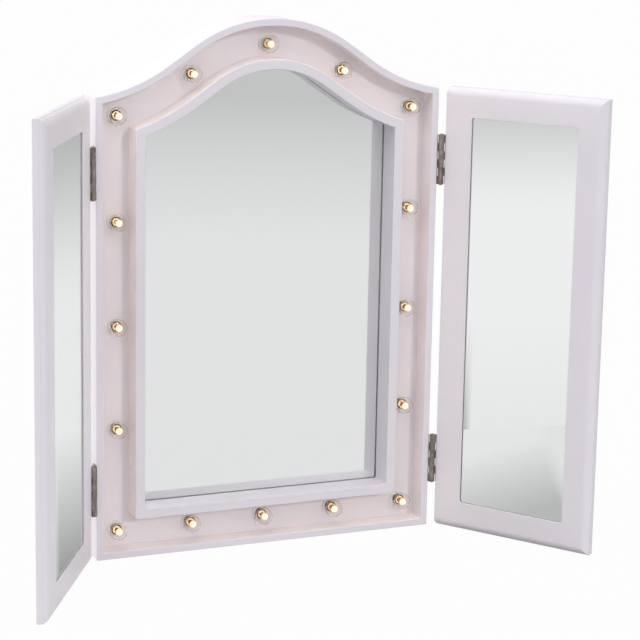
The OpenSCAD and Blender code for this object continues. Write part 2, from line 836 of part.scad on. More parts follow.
module wing_back_panel() {
    color(board) wing_body() wing_between(wing_back_front, wing_t) difference() {
        wing_rect(back_border, rebate_corner_r);
        wing_screw_holes();
    }
}

module wing_screws() {
    color(steel) wing_body() for (p = wing_screws_at)
        translate([p[0], wing_t - wing_screw_len, p[1]]) rotate([-90, 0, 0]) {
            cylinder(r = wing_screw_r, h = wing_screw_len, $fn = 32);
            translate([0, 0, wing_screw_len])
                cylinder(r1 = wing_screw_head_r, r2 = wing_screw_tip_r, h = wing_screw_head_h, $fn = 32);
        }
}

module left_wing_frame() {
    left_wing() wing_frame();
}

module left_wing_mirror() {
    left_wing() wing_mirror();
}

module left_wing_backing() {
    left_wing() wing_backing();
}

module left_wing_back_panel() {
    left_wing() wing_back_panel();
}

module left_wing_screws() {
    left_wing() wing_screws();
}

module right_wing_frame() {
    right_wing() wing_frame();
}

module right_wing_mirror() {
    right_wing() wing_mirror();
}

module right_wing_backing() {
    right_wing() wing_backing();
}

module right_wing_back_panel() {
    right_wing() wing_back_panel();
}

module right_wing_screws() {
    right_wing() wing_screws();
}

centre_casing();
frame_battens();
channel_board();
mirror_surround();
centre_mirror();
centre_mirror_backing();
mirror_clips();
back_panel();
back_panel_screws();
lamp_sockets();
lamp_emitters();
lamp_globes();
wiring_loom();
battery_box();
battery_contacts();
batteries();
battery_cover();
switch_body();
switch_rocker();
centre_hinge_leaves();
left_hinge_leaves();
right_hinge_leaves();
left_hinge_pins();
right_hinge_pins();
centre_hinge_screws();
left_hinge_screws();
right_hinge_screws();
left_wing_frame();
left_wing_mirror();
left_wing_backing();
left_wing_back_panel();
left_wing_screws();
right_wing_frame();
right_wing_mirror();
right_wing_backing();
right_wing_back_panel();
right_wing_screws();
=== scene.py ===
"""Three-panel lighted tabletop mirror: finished pieces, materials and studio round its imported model.

Metres, +Z up, the front faces -Y, and the origin is the middle of the casing's underside."""

import math

import bpy
import numpy as np
from bpy.props import FloatProperty, FloatVectorProperty, PointerProperty
from bpy.types import Operator, Panel, PropertyGroup
from mathutils import Matrix, Vector


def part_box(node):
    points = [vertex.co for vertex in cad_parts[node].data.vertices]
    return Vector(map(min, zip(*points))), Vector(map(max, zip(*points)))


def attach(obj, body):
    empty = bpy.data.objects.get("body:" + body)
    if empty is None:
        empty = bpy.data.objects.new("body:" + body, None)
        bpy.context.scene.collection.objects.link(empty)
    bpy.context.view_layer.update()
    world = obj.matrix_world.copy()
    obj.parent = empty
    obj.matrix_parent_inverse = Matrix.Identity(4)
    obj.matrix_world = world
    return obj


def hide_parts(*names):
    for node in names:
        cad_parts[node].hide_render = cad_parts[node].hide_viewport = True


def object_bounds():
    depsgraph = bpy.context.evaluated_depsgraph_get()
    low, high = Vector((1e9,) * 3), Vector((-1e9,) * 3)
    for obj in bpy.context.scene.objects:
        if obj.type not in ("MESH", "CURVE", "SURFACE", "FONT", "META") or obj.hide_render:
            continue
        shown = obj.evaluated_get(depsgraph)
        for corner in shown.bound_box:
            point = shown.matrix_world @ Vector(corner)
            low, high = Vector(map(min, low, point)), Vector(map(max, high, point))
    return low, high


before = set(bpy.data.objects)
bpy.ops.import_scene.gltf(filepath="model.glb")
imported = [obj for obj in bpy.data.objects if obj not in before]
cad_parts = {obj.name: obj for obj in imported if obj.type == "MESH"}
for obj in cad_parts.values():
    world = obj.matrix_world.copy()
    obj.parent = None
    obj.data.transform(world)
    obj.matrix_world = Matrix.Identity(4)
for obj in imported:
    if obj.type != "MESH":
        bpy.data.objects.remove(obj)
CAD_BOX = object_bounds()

bl_info = {
    "name": "Lighted Vanity Mirror",
    "version": (1, 0, 0),
    "blender": (4, 5, 0),
    "location": "View3D > Sidebar > Mirror",
    "description": "Builds the finished pieces of a three-panel lighted tabletop mirror",
    "category": "Object",
}

MM = 0.001
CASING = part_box("centre_casing")
WIDE, DEEP, TALL = ((b - a) / MM for a, b in zip(*CASING))  # the casing's sizes in millimetres
SIDES = ((-1, "left_wing"), (1, "right_wing"))
SHOULDER = math.radians(8)  # slope of the arch's hollow sweep where it meets a shoulder
SOCKET_FLANGE = 1.0 * MM  # how far a lamp's socket stands in front of the channel board
NOISE_RANGE = (0.3, 0.7)  # where nearly all values of a noise pattern lie


def length(name, about, default, low, high):
    """A size in metres, given here in millimetres."""
    return FloatProperty(name=name, description=about, default=default * MM, min=low * MM, max=high * MM,
                         unit="LENGTH", precision=4)


def angle(name, about, default, low, high):
    """An angle, given here in degrees."""
    return FloatProperty(name=name, description=about, default=math.radians(default),
                         min=math.radians(low), max=math.radians(high), unit="ROTATION")


def colour(name, about, default):
    """A colour with red, green and blue from 0 to 1."""
    return FloatVectorProperty(name=name, description=about, default=default, min=0, max=1, subtype="COLOR")


def strength(name, about, default, high):
    """A light's strength, from none to a highest one."""
    return FloatProperty(name=name, description=about, default=default, min=0, max=high)


class MirrorSizes(PropertyGroup):
    """Sizes of the casing, the wings and the lamps."""

    casing_width: length("Casing width", "Width of the centre casing", WIDE, 330, 400)
    casing_depth: length("Casing depth", "Depth of the casing from front to rear", DEEP, 43, 60)
    casing_height: length("Casing height", "Height of the casing at the crown", TALL, 480, 620)
    side_height: length("Side height", "Height of the casing's straight sides", 462, 420, 520)
    wall: length("Casing wall", "Thickness of the casing boards", 7, 6, 8.5)
    crown_radius: length("Crown radius", "Radius of the arch's crown", 143, 120, 150)
    sweep_radius: length("Sweep radius", "Radius of the hollow sweep", 172, 150, 180)
    flank_angle: angle("Flank slope", "Slope of the arch's straight flanks", 34.5, 30, 37)
    channel_depth: length("Channel depth", "Depth of the channel floor", 21, 19, 23)
    board_thickness: length("Channel board", "Thickness of the channel board", 3, 2.5, 4)
    surround_inset: length("Surround inset", "Distance from the casing's outside to the surround", 39.5, 37, 44)
    surround_width: length("Surround width", "Width of the surround's face", 10, 8, 14)
    surround_proud: length("Surround proud", "Distance of the surround in front of the casing", 3, 1, 3)
    surround_corner: length("Surround corner", "Radius of the surround's outer corners", 2.5, 1, 8)
    opening_corner: length("Opening corner", "Radius of the opening's corners", 1.5, 1, 8)
    glass_lap: length("Glass lap", "Width of the centre glass hidden all round", 4, 3, 6)
    glass_thickness: length("Glass thickness", "Thickness of the mirror glass", 3, 2, 4)
    casing_arris: length("Casing arris", "Radius of the casing's sanded front edges", 0.7, 0.2, 1.5)
    surround_arris: length("Surround arris", "Radius of the surround's sanded front edges", 0.9, 0.2, 1.5)
    wing_height: length("Wing height", "Height of a wing", 464, 420, 520)
    wing_gap: length("Wing gap", "Gap between the two wings when both are shut", 3, 2, 10)
    wing_thickness: length("Wing thickness", "Thickness of a wing", 12, 11, 14)
    moulding: length("Moulding width", "Width of the moulding round a wing's front", 9, 6, 12)
    bar: length("Wing bar", "Width of a wing frame's bars", 30, 24, 36)
    wing_corner: length("Wing opening corner", "Radius of the corners of a wing's opening", 2.5, 1, 5)
    wing_glass_depth: length("Wing glass depth", "Depth of the wing glass behind the face", 1.5, 1, 2)
    wing_glass: length("Wing silvering", "Depth of a wing's silvering behind the glass's front", 1.4, 1, 3)
    wing_glass_lap: length("Wing glass lap", "Width of the wing glass hidden all round", 5, 3, 8)
    wing_back_thickness: length("Wing back", "Thickness of the wing's rear panel", 3, 2, 3)
    wing_back_lap: length("Wing back lap", "Width of the wing's rear panel beyond the glass", 6, 4, 10)
    left_fold: angle("Left fold", "Angle of the left wing, folded forward from flat", 60.5, 0, 180)
    right_fold: angle("Right fold", "Angle of the right wing, folded forward from flat", 56.5, 0, 180)
    pin_side: length("Pin to boards", "Distance of a hinge pin from the boards beside it", 3.4, 3.3, 3.8)
    pin_front: length("Pin to front", "Distance of a hinge pin in front of the casing", 1.8, 1.8, 2.2)
    lamp_inset: length("Lamp inset", "Distance of the lamp centres from the casing's outside", 25.5, 24, 27)
    flank_lamp: length("Flank lamp", "Sideways distance of the two flank lamps", 79.5, 72, 90)
    flank_inset: length("Flank lamp inset", "Distance of the two flank lamps from the casing's outside", 24, 22, 27)
    lamp_drop: length("Lamp drop", "Distance of the top side lamps below the shoulder", 19.5, 17, 26)
    globe_radius: length("Globe radius", "Radius of a lamp globe", 8.75, 8, 9.5)
    globe_wall: length("Globe wall", "Wall of a lamp globe", 0.8, 0.6, 1.2)
    globe_neck: length("Globe neck", "Outside radius of a globe's neck", 5.2, 4.8, 5.6)
    globe_lift: length("Globe lift", "Distance of a globe in front of its socket", 4.5, 0.5, 6)
    neck_tail: length("Neck tail", "Length of a globe's neck behind the channel board", 2, 1, 3)
    emitter: length("Emitter radius", "Radius of the light emitter", 3.4, 2.5, 3.6)
    emitter_gap: length("Emitter gap", "Distance from the emitter's tip to the globe", 3, 0.4, 4)


class MirrorColours(PropertyGroup):
    """Colours of the finishes."""

    paint: colour("Paint", "Satin lacquer of the boards", (0.83, 0.80, 0.845))
    paint_shade: colour("Paint shade", "Paint where the coat is thinner", (0.805, 0.773, 0.82))
    raw_wood: colour("Batten wood", "Bare softwood inside the casing", (0.60, 0.42, 0.25))
    raw_grain: colour("Batten grain", "Darker grain of the bare softwood", (0.42, 0.26, 0.13))
    board: colour("Backing board", "Fibreboard behind the glass", (0.36, 0.24, 0.14))
    rear: colour("Rear board", "Hardboard of the rear panels", (0.30, 0.19, 0.11))
    silver: colour("Mirror", "Silvering behind the glass", (0.93, 0.935, 0.94))
    hinge: colour("Hinge metal", "Worn nickel of the hinges", (0.40, 0.345, 0.315))
    zinc: colour("Zinc", "Zinc of the screws and clips", (0.66, 0.66, 0.64))
    light_plastic: colour("Light plastic", "White plastic of the battery box", (0.80, 0.80, 0.78))
    dark_plastic: colour("Dark plastic", "Black plastic of the switch", (0.025, 0.025, 0.028))
    lead: colour("Lead", "Insulation of the lead", (0.45, 0.02, 0.015))
    glow: colour("Lamp glow", "Light of the lamps", (1.0, 0.62, 0.22))
    core: colour("Lamp core", "Light of a lamp at its very tip", (1.0, 0.93, 0.72))
    lit: colour("Lit resin", "Resin of a lamp where it glows", (0.3, 0.25, 0.18))
    amber: colour("Lamp body", "Resin of a lamp behind its glow", (0.20, 0.15, 0.11))
    collar: colour("Lamp collar", "Collar at the foot of a lamp", (0.34, 0.31, 0.29))
    globe: colour("Globe", "Tint of the clear globes", (0.985, 0.955, 0.92))
    globe_rim: colour("Globe rim", "Tint of a globe where it is seen edge on", (0.62, 0.57, 0.60))
    glass: colour("Glass", "Tint of the mirrors' glass", (0.985, 0.99, 0.988))
    jacket: colour("Battery jacket", "Label film of the batteries", (0.05, 0.07, 0.065))


class StudioLight(PropertyGroup):
    """Strengths of the studio's lights."""

    key: strength("Key", "Strength of the key light", 0.6, 5)
    side: strength("Side", "Strength of the wide light high on the left", 0.75, 5)
    behind: strength("Behind", "Strength of the light from behind on the left", 1.7, 5)
    fill: strength("Fill", "Strength of the light all round", 0.95, 2)
    lamps: strength("Lamps", "Strength of the lamps' own light", 50.0, 240)


# ---------- shapes ----------


def circle(angles):
    """Unit vectors at the angles, as (x, z) rows."""
    return np.stack([np.cos(angles), np.sin(angles)], 1)


def upright(rows, depth):
    """Stands (x, z) rows up at a depth, as (x, depth, z) rows."""
    return np.stack([rows[:, 0], np.broadcast_to(depth, len(rows)), rows[:, 1]], 1)


def rounded_section(corners):
    """Closed section with round corners, as points and outward normals.

    Each corner is (across, along, radius, steps), in millimetres and in order against the clock. A corner's arc turns
    its normal evenly from that of the edge before to that of the edge after, about a centre that lies one radius from
    both edges."""
    c = np.array([k[:2] for k in corners], float) * MM
    edge = np.roll(c, -1, 0) - c
    edge /= np.linalg.norm(edge, axis=1)[:, None]
    out = np.stack([edge[:, 1], -edge[:, 0]], 1)
    points, normals = [], []
    for i, (_, _, r, steps) in enumerate(corners):
        before, after = out[i - 1], out[i]
        turn = math.atan2(before[0] * after[1] - before[1] * after[0], before @ after)
        cos, sin = circle(np.linspace(0, turn, steps + 1)).T
        n = np.stack([before[0] * cos - before[1] * sin, before[0] * sin + before[1] * cos], 1)
        side = math.copysign(r * MM, turn)
        centre = c[i] - side * (before + after) / (1 + before @ after)
        points.append(centre + side * n)
        normals.append(n)
    return np.concatenate(points), np.concatenate(normals)


def arch_path(s, inset, radius, corner_steps=5):
    """Casing outline drawn in by the inset, as points (x, z) and outward normals, against the clock from the foot.

    The right half is a foot corner, a straight side, a shoulder corner, a hollow sweep of radius sweep + inset about a
    fixed centre outside, a straight flank and a crown of radius crown - inset about a fixed centre. The left half
    mirrors it."""
    w = s.casing_width / 2 - inset
    flank = s.flank_angle
    crown_z = s.casing_height - s.crown_radius
    sweep = np.array([s.casing_width / 2 + s.sweep_radius * math.sin(SHOULDER),
                      s.side_height + s.sweep_radius * math.cos(SHOULDER)])
    big = s.sweep_radius + inset
    run = sweep[0] - w + radius
    rise = math.sqrt((big + radius) ** 2 - run**2)
    end = math.atan2(rise, run)

    def corner(z, first, last):
        n = circle(np.linspace(first, last, corner_steps + 1))
        return np.array([w - radius, z]) + radius * n, n

    foot = corner(inset + radius, -math.pi / 2, 0)
    shoulder = corner(sweep[1] - rise, 0, end)
    n = circle(np.linspace(math.pi / 2 - end, flank, 25)[1:])[:, ::-1]
    hollow = (sweep - big * n, n)
    n = circle(np.linspace(flank, 0, 33))[:, ::-1]
    crown = (np.array([0, crown_z]) + (s.crown_radius - inset) * n, n)
    points, normals = (np.concatenate([part[i] for part in (foot, shoulder, hollow, crown)]) for i in (0, 1))
    flip = np.array([-1, 1])
    return np.concatenate([points, points[-2::-1] * flip]), np.concatenate([normals, normals[-2::-1] * flip])


def loft(rings, normals, ring_closed=True):
    """Quads between rows of points, as (points, normals, faces).

    Each row is a closed loop. The last row also joins the first, unless ring_closed is off."""
    rings, normals = np.array(rings), np.array(normals)
    count, around = rings.shape[:2]
    grid = np.arange(count * around).reshape(count, around)
    nxt = np.roll(grid, -1, 0)
    if not ring_closed:
        grid, nxt = grid[:-1], nxt[:-1]
    faces = np.stack([grid, np.roll(grid, -1, 1), np.roll(nxt, -1, 1), nxt], -1).reshape(-1, 4)
    return outward(rings.reshape(-1, 3), normals.reshape(-1, 3), faces)


def outward(points, normals, faces):
    """Turns all faces over if they point against the normals."""
    a, b, c = (points[faces[:, i]] for i in (0, 1, 2))
    if (np.cross(b - a, c - a) * normals[faces[:, 0]]).sum() < 0:
        faces = faces[:, ::-1]
    return points, normals, faces


def make_piece(name, parts, body, materials, node, rest=None):
    """Joins parts of (points, normals, faces) into one smooth piece that rides on a body and stands for a CAD node.

    Rest maps the points from the shape's own frame to the model's."""
    points, normals, faces = [], [], []
    start = 0
    for p, n, part_faces in parts:
        if rest is not None:
            p, n = p @ rest[0].T + rest[1], n @ rest[0].T
        points.append(p)
        normals.append(n)
        faces += [[int(v) + start for v in f] for f in part_faces]
        start += len(p)
    points, normals = np.concatenate(points), np.concatenate(normals)
    if rest is not None and np.linalg.det(rest[0]) < 0:
        faces = [f[::-1] for f in faces]
    mesh = bpy.data.meshes.new(name)
    mesh.from_pydata(points.tolist(), [], faces)
    for m in materials:
        mesh.materials.append(m)
    mesh.polygons.foreach_set("use_smooth", [True] * len(faces))
    normals /= np.linalg.norm(normals, axis=1)[:, None]
    mesh.normals_split_custom_set_from_vertices(normals.tolist())
    mesh.update()
    piece = bpy.data.objects.new(name, mesh)
    bpy.context.scene.collection.objects.link(piece)
    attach(piece, body)
    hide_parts(node)
    return piece


def copies(shape, places, depth):
    """A shape of (points, normals, faces) set at each place (x, z), at a depth."""
    points, normals, faces = shape
    return [(points + np.array([x, depth, z]), normals, faces) for x, z in places]


def arch_loft(s, corners, corner_radius):
    """Carries a section of (inset, depth behind the front edge) round the arch, as (points, normals, faces).

    A point of the section follows the outline at its own inset, so all its paths are parallel."""
    rings, normals = [], []
    for (inset, depth), (across, along) in zip(*rounded_section(corners)):
        p, out = arch_path(s, inset, corner_radius(inset))
        rings.append(upright(p, depth - s.casing_depth / 2))
        normals.append(upright(-across * out, along))
    return loft(rings, normals)


# ---------- materials ----------


def node_maker(tree):
    """A function that adds a node to the tree, with its settings, and sets or links its inputs."""

    def node(kind, inputs=None, **settings):
        n = tree.nodes.new("ShaderNode" + kind)
        for k, v in settings.items():
            setattr(n, k, v)
        for k, v in (inputs or {}).items():
            if isinstance(v, bpy.types.NodeSocket):
                tree.links.new(v, n.inputs[k])
            else:
                n.inputs[k].default_value = v
        return n

    return node


def shader(name):
    """A material with one Principled shader, as (material, node maker, shader)."""
    mat = bpy.data.materials.new(name)
    mat.use_nodes = True
    return mat, node_maker(mat.node_tree), mat.node_tree.nodes["Principled BSDF"]


def link(base, name, socket):
    """Joins a socket to one of a shader's inputs."""
    base.id_data.links.new(socket, base.inputs[name])


def flat(base, **values):
    """Sets plain values on a shader's sockets."""
    for name, value in values.items():
        base.inputs[name.replace("_", " ")].default_value = value


def rgba(c):
    """A colour with full alpha."""
    return (c[0], c[1], c[2], 1.0)


def mix_colours(node, factor, low, high):
    """Mix of two colours that may be links."""
    return node("Mix", {0: factor, 6: low, 7: high}, data_type="RGBA").outputs[2]


def tint(node, base, factor, low, high):
    """Spreads a shader's base colour between two colours by a factor."""
    link(base, "Base Color", mix_colours(node, factor, rgba(low), rgba(high)))


def mix_values(node, factor, low, high):
    """Mix of two numbers that may be links."""
    return node("Mix", {"Factor": factor, "A": low, "B": high}, data_type="FLOAT").outputs["Result"]


def place(node):
    """The piece's own coordinates, in metres."""
    return node("TexCoord").outputs["Object"]


def noise(node, at, scale, detail=2.0, rough=0.5):
    """Noise over the piece's coordinates, centred on a half."""
    return node("TexNoise", {"Vector": at, "Scale": scale, "Detail": detail, "Roughness": rough}).outputs["Fac"]


def ramp(node, value, low, high, to_low=0.0, to_high=1.0, **settings):
    """Maps a range of a value to another range, held at its ends."""
    inputs = {"Value": value, "From Min": low, "From Max": high, "To Min": to_low, "To Max": to_high}
    return node("MapRange", inputs, **settings).outputs["Result"]


def gloss(node, base, pattern, low, high):
    """Spreads a shader's roughness between two values by a noise pattern."""
    link(base, "Roughness", ramp(node, pattern, *NOISE_RANGE, low, high))


def bump(node, base, height, strength, distance):
    """Raises a shader's surface by a pattern, over a distance in metres."""
    inputs = {"Height": height, "Strength": strength, "Distance": distance}
    link(base, "Normal", node("Bump", inputs).outputs["Normal"])


def end_in_mix(tree, node, factor, low, high, end="Material Output"):
    """Ends a tree in a mix of two shaders' outputs."""
    mixed = node("MixShader", {0: factor, 1: low, 2: high})
    tree.links.new(mixed.outputs["Shader"], tree.nodes[end].inputs["Surface"])


def seen_ray(node, path):
    """1 on a ray from the camera, from a reflection or through glass, and 0 on the rays that carry light about."""
    seen = path.outputs["Is Camera Ray"]
    for name in ("Is Glossy Ray", "Is Transmission Ray"):
        seen = node("Math", {0: seen, 1: path.outputs[name]}, operation="MAXIMUM").outputs["Value"]
    return seen


def satin_paint(c):
    """Sprayed satin lacquer: faint tone drift, fine orange peel and a slightly uneven gloss."""
    mat, node, base = shader("satin_white_lacquer")
    at = place(node)
    drift = ramp(node, noise(node, at, 9.0, 3.0), 0.35, 0.65)
    tint(node, base, drift, c.paint_shade, c.paint)
    gloss(node, base, noise(node, at, 55.0, 3.0), 0.33, 0.43)
    bump(node, base, noise(node, at, 620.0, 1.0), 0.12, 0.0002)
    flat(base, Coat_Weight=0.05, Coat_Roughness=0.2, Specular_IOR_Level=0.35)
    return mat


def bare_wood(c):
    """Softwood battens: long grain lines stretched along the height, with fine pores."""
    mat, node, base = shader("bare_softwood")
    long = node("Mapping", {"Vector": place(node), "Scale": (60.0, 60.0, 6.0)}).outputs["Vector"]
    grain = ramp(node, noise(node, long, 3.0, 6.0, 0.62), 0.38, 0.66)
    tint(node, base, grain, c.raw_wood, c.raw_grain)
    link(base, "Roughness", ramp(node, grain, 0.0, 1.0, 0.62, 0.78))
    bump(node, base, grain, 0.25, 0.0003)
    return mat


def pressed_board(name, tone, shine):
    """Pressed fibreboard: short matted fibres over a soft drift of tone."""
    mat, node, base = shader(name)
    at = place(node)
    wide = node("Mapping", {"Vector": at, "Scale": (1.0, 1.0, 2.6)}).outputs["Vector"]
    fibre = noise(node, wide, 700.0, 5.0, 0.7)
    both = ramp(node, mix_values(node, 0.3, fibre, noise(node, at, 22.0, 5.0, 0.65)), 0.36, 0.64)
    dark = tuple(v * 0.78 for v in tone)
    pale = tuple(min(1.0, v * 1.18) for v in tone)
    tint(node, base, both, dark, pale)
    gloss(node, base, fibre, shine, shine + 0.14)
    bump(node, base, fibre, 0.2, 0.0002)
    return mat


def silvering(c):
    """Silvering at the back of the glass."""
    mat, node, base = shader("mirror_silvering")
    flat(base, Metallic=1.0, Base_Color=rgba(c.silver))
    gloss(node, base, noise(node, place(node), 24.0, 3.0), 0.004, 0.012)
    return mat


def let_light_pass(mat, node, base, tint):
    """Lets the light of the lamps and the studio through a glass shader, with a tint."""
    passing = node("BsdfTransparent", {"Color": tint})
    shadow = node("LightPath").outputs["Is Shadow Ray"]
    end_in_mix(mat.node_tree, node, shadow, base.outputs["BSDF"], passing.outputs["BSDF"])


def float_glass(c):
    """Clear float glass, faintly green, and open to lamp light."""
    mat, node, base = shader("float_glass")
    flat(base, Transmission_Weight=1.0, Roughness=0.0, IOR=1.5, Base_Color=rgba(c.glass))
    let_light_pass(mat, node, base, (0.9, 0.92, 0.91, 1.0))
    return mat


def metal_with_wear_and_painted_streaks(name, tone, low, high, streak):
    """Plated steel: drawn streaks, longest where their scale is smallest, that are dark enough to be a painted
    reflection of stripes as well, small stains and an uneven gloss.
    """
    mat, node, base = shader(name)
    at = place(node)
    drawn = node("Mapping", {"Vector": at, "Scale": streak}).outputs["Vector"]
    lines = noise(node, drawn, 260.0, 4.0, 0.6)
    stain = noise(node, at, 240.0, 4.0, 0.6)
    patchy = ramp(node, mix_values(node, 0.6, stain, lines), 0.38, 0.6)
    # The dark streaks are partly drawn wear and partly a painted reflection: along the hinges they stand in for the
    # knuckles' reflected stripes.
    deep = tuple(v * 0.4 for v in tone)
    tint(node, base, patchy, deep, tone)
    gloss(node, base, lines, low, high)
    bump(node, base, lines, 0.15, 0.0001)
    flat(base, Metallic=1.0)
    return mat


def moulded_plastic(name, tone, rough, grain=1500.0):
    """Injection-moulded plastic with a fine spark-eroded grain."""
    mat, node, base = shader(name)
    at = place(node)
    fine = noise(node, at, grain, 2.0)
    drift = ramp(node, noise(node, at, 30.0, 3.0), 0.35, 0.65)
    shade = tuple(v * 0.93 for v in tone)
    tint(node, base, drift, shade, tone)
    gloss(node, base, fine, rough, rough + 0.12)
    bump(node, base, fine, 0.2, 0.00008)
    return mat


def clear_globe(c):
    """Thin clear globe, darker where it is seen edge on, and open to lamp light."""
    mat, node, base = shader("clear_globe")
    edge = ramp(node, node("LayerWeight", {"Blend": 0.5}).outputs["Facing"], 0.72, 1.0)
    tint(node, base, edge, c.globe, c.globe_rim)
    flat(base, Transmission_Weight=1.0, Roughness=0.0, IOR=1.08)
    let_light_pass(mat, node, base, (0.80, 0.78, 0.79, 1.0))
    return mat


def lamp_body(c, power):
    """Resin lamp on a collar. The share of its length from its tip, stored as the map "along", sets how it glows.

    To the eye only the front glows. The light that it sheds comes from a longer stretch."""
    mat, node, base = shader("lamp_resin")
    along = node("SeparateXYZ", {"Vector": node("UVMap", uv_map="along").outputs["UV"]}).outputs["X"]
    fade = (0.17, 0.27)
    body = mix_colours(node, ramp(node, along, 0.43, 0.45), rgba(c.amber), rgba(c.collar))
    link(base, "Base Color", mix_colours(node, ramp(node, along, *fade, 1.0, 0.0), body, rgba(c.lit)))
    link(base, "Emission Color", mix_colours(node, ramp(node, along, 0.08, 0.22), rgba(c.core), rgba(c.glow)))
    shed = ramp(node, along, 0.30, 0.42, power, 0.0)
    shown = ramp(node, along, *fade, 1.02, 0.0)
    link(base, "Emission Strength", mix_values(node, seen_ray(node, node("LightPath")), shed, shown))
    flat(base, Roughness=0.25)
    mat.cycles.emission_sampling = "FRONT"
    return mat


def battery_skin(c):
    """Battery jacket: dark label film under a clear coat, with an uneven gloss."""
    mat, node, base = shader("battery_jacket")
    flat(base, Base_Color=rgba(c.jacket), Metallic=0.3, Coat_Weight=0.4, Coat_Roughness=0.08)
    gloss(node, base, noise(node, place(node), 80.0, 3.0), 0.22, 0.34)
    return mat


def dress(material, *nodes):
    """Gives CAD nodes a material in place of their plain one."""
    for name in nodes:
        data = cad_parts[name].data
        data.materials.clear()
        data.materials.append(material)


# ---------- operators ----------


class BuildCasing(Operator):
    """Centre casing, mirror surround and channel board, with sanded arrises."""

    bl_idname = "mirror.casing"
    bl_label = "Casing and surround"

    def execute(self, context):
        s = context.scene.mirror_sizes
        paint = satin_paint(context.scene.mirror_colours)
        a, w, d = s.casing_arris / MM, s.wall / MM, s.casing_depth / MM

        def board_corner(inset):
            """0.9 mm outside the boards, down to 0.5 mm inside them."""
            return (0.9 - 0.4 * inset / s.wall) * MM

        boards = arch_loft(s, [(0, 0, a, 4), (w, 0, a, 4), (w, d, 0.3, 2), (0, d, 0.5, 3)], board_corner)
        make_piece("casing_boards", [boards], "centre", [paint], "centre_casing")
        near, far = s.surround_inset / MM, (s.surround_inset + s.surround_width) / MM
        rear = (s.channel_depth + s.board_thickness) / MM
        a, front = s.surround_arris / MM, -s.surround_proud / MM

        def bead_corner(inset):
            """The outer corners' radius, changing evenly to that of the opening's corners."""
            t = (inset - s.surround_inset) / s.surround_width
            return s.surround_corner + (s.opening_corner - s.surround_corner) * t

        section = [(near, rear, 0.05, 1), (near, front, a, 5), (far, front, a, 5), (far, rear, 0.05, 1)]
        bead = arch_loft(s, section, bead_corner)
        make_piece("surround_bead", [bead], "centre", [paint], "mirror_surround")
        dress(paint, "channel_board")
        return {"FINISHED"}


def wing_ring(s, inset, hinge_inset, radius, steps=4):
    """Rounded rectangle of a wing drawn in by the inset, and at the hinge by another, as points (x, z), outward
    normals and the share of the hinge edge's section that each point has.

    Each corner is a quarter circle. The share falls evenly from 1 to 0 round the two hinge corners."""
    left, right = hinge_inset + radius, wing_width(s) - inset - radius
    low, high = inset + radius, s.wing_height - inset - radius
    quarter = np.linspace(0, math.pi / 2, steps + 1)
    parts = []
    for x, z, begin, first, last in ((left, low, math.pi, 1, 0), (right, low, 1.5 * math.pi, 0, 0),
                                     (right, high, 0, 0, 0), (left, high, 0.5 * math.pi, 0, 1)):
        n = circle(begin + quarter)
        parts.append((np.array([x, z]) + radius * n, n, np.linspace(first, last, steps + 1)))
    return (np.concatenate([p[i] for p in parts]) for i in range(3))


def wing_width(s):
    """Width of a wing."""
    return s.casing_width / 2 - s.wing_gap / 2


def wing_rest(s, side):
    """(turn, shift) from a wing's own frame to where the wing stands, for side -1 or 1.

    The wing's frame has its hinge corner at the origin, its width along +X and its face at depth 0. It is moved out
    from the pin, turned about the pin by the fold and put at the pin, then mirrored for the left wing."""
    fold = s.left_fold if side < 0 else s.right_fold
    turn = np.array(Matrix.Rotation(-fold, 3, "Z"))
    pin = np.array([s.casing_width / 2 + s.pin_side, -s.casing_depth / 2 - s.pin_front, 0])
    shift = turn @ np.array([s.pin_side, s.pin_front, 0]) + pin
    flip = np.diag([float(side), 1.0, 1.0])
    return flip @ turn, flip @ shift


class BuildWings(Operator):
    """Both wing frames, moulded on three sides and plain at the hinge."""

    bl_idname = "mirror.wings"
    bl_label = "Wing frames"

    def execute(self, context):
        s = context.scene.mirror_sizes
        paint = bpy.data.materials["satin_white_lacquer"]
        # In millimetres: the plain part of the edge, the step in beside it and the lip before the curve.
        edge, step, lip = 6.0, 0.6, 0.8
        bar, moulding, thick = s.bar / MM, s.moulding / MM, s.wing_thickness / MM
        run, drop = moulding - step, thick - edge - lip
        big = (run**2 + drop**2) / (2 * drop)
        tangent = big * math.tan(math.asin(run / big) / 2)
        glass = (s.bar - s.wing_glass_lap) / MM - 0.2
        deep, back = s.wing_glass_depth / MM, thick - s.wing_back_thickness / MM
        recess = glass - s.wing_back_lap / MM
        section = [(recess, thick, 0.1, 1), (0, thick, 0.5, 3), (0, edge, 0.25, 3), (step, edge, 0.08, 1),
                   (step, drop, 0.15, 2), (moulding - tangent, 0, big * 0.95, 14), (bar, 0, 0.5, 4),
                   (bar, deep, 0.05, 1), (glass, deep, 0.05, 1), (glass, back, 0.05, 1), (recess, back, 0.05, 1)]
        soft, outside_corner, rebate_corner = 0.5 * MM, 0.35 * MM, MM
        rings, normals = [], []
        for (inset, depth), n in zip(*rounded_section(section)):
            outer, opening = inset < s.moulding * 1.05, inset > s.bar - MM
            hinge, hinge_n = inset, n
            if outer and depth < s.wing_thickness - soft:
                sunk = max(soft - depth, 0.0)
                hinge = soft - math.sqrt(soft**2 - sunk**2)
                hinge_n = np.array([hinge - soft, -sunk]) / soft
            radius = outside_corner if outer else s.wing_corner if opening else rebate_corner
            p, out, share = wing_ring(s, inset, hinge, radius)
            mixed = share[:, None] * hinge_n + (1 - share[:, None]) * n
            rings.append(upright(p, depth))
            normals.append(upright(-mixed[:, :1] * out, mixed[:, 1]))
        shape = loft(rings, normals)
        for side, body in SIDES:
            make_piece(body + "_moulded_frame", [shape], body, [paint], body + "_frame",
                       wing_rest(s, side))
        return {"FINISHED"}


